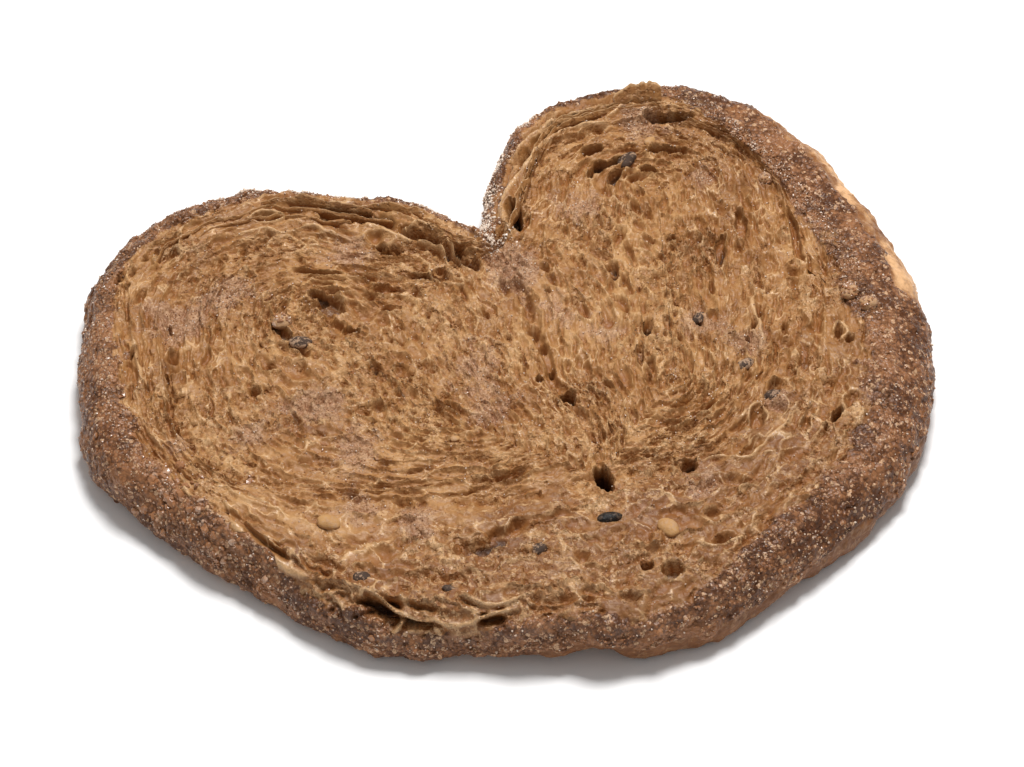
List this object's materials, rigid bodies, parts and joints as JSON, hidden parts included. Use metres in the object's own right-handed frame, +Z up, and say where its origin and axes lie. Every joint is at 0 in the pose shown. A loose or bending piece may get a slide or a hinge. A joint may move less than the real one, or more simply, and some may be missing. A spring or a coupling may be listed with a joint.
{
  "type": "palmier pastry",
  "caption": "Heart-shaped palmier of folded puff pastry: two layered coils that meet at a seam, outer layers wrapped round both, and a sugared, rounded crust with baked-on seeds.",
  "frame": {"origin": "on the resting plane, under the middle of the pastry's bounding box", "axes": "+Z up out of the cut face, +Y from the heart's tip to the cleft between its lobes, +X to the right lobe as seen from the tip side"},
  "size_m": [0.128, 0.1046, 0.0136],
  "materials": {
    "baked_layers": "golden-brown cut layers of puff pastry, matt with a faint caramel gloss on the ridges and darker pores",
    "sugared_crust": "greyish-brown crust under fine baked sugar, rough, with small glints",
    "pale_seed": "toasted pale seed, satin",
    "dark_seed": "dark roasted seed, satin",
    "sugar": "clear to milky sugar grains with bright facets"
  },
  "bodies": {
    "root": {"pastry": "baked_layers"}
  },
  "joints": []
}
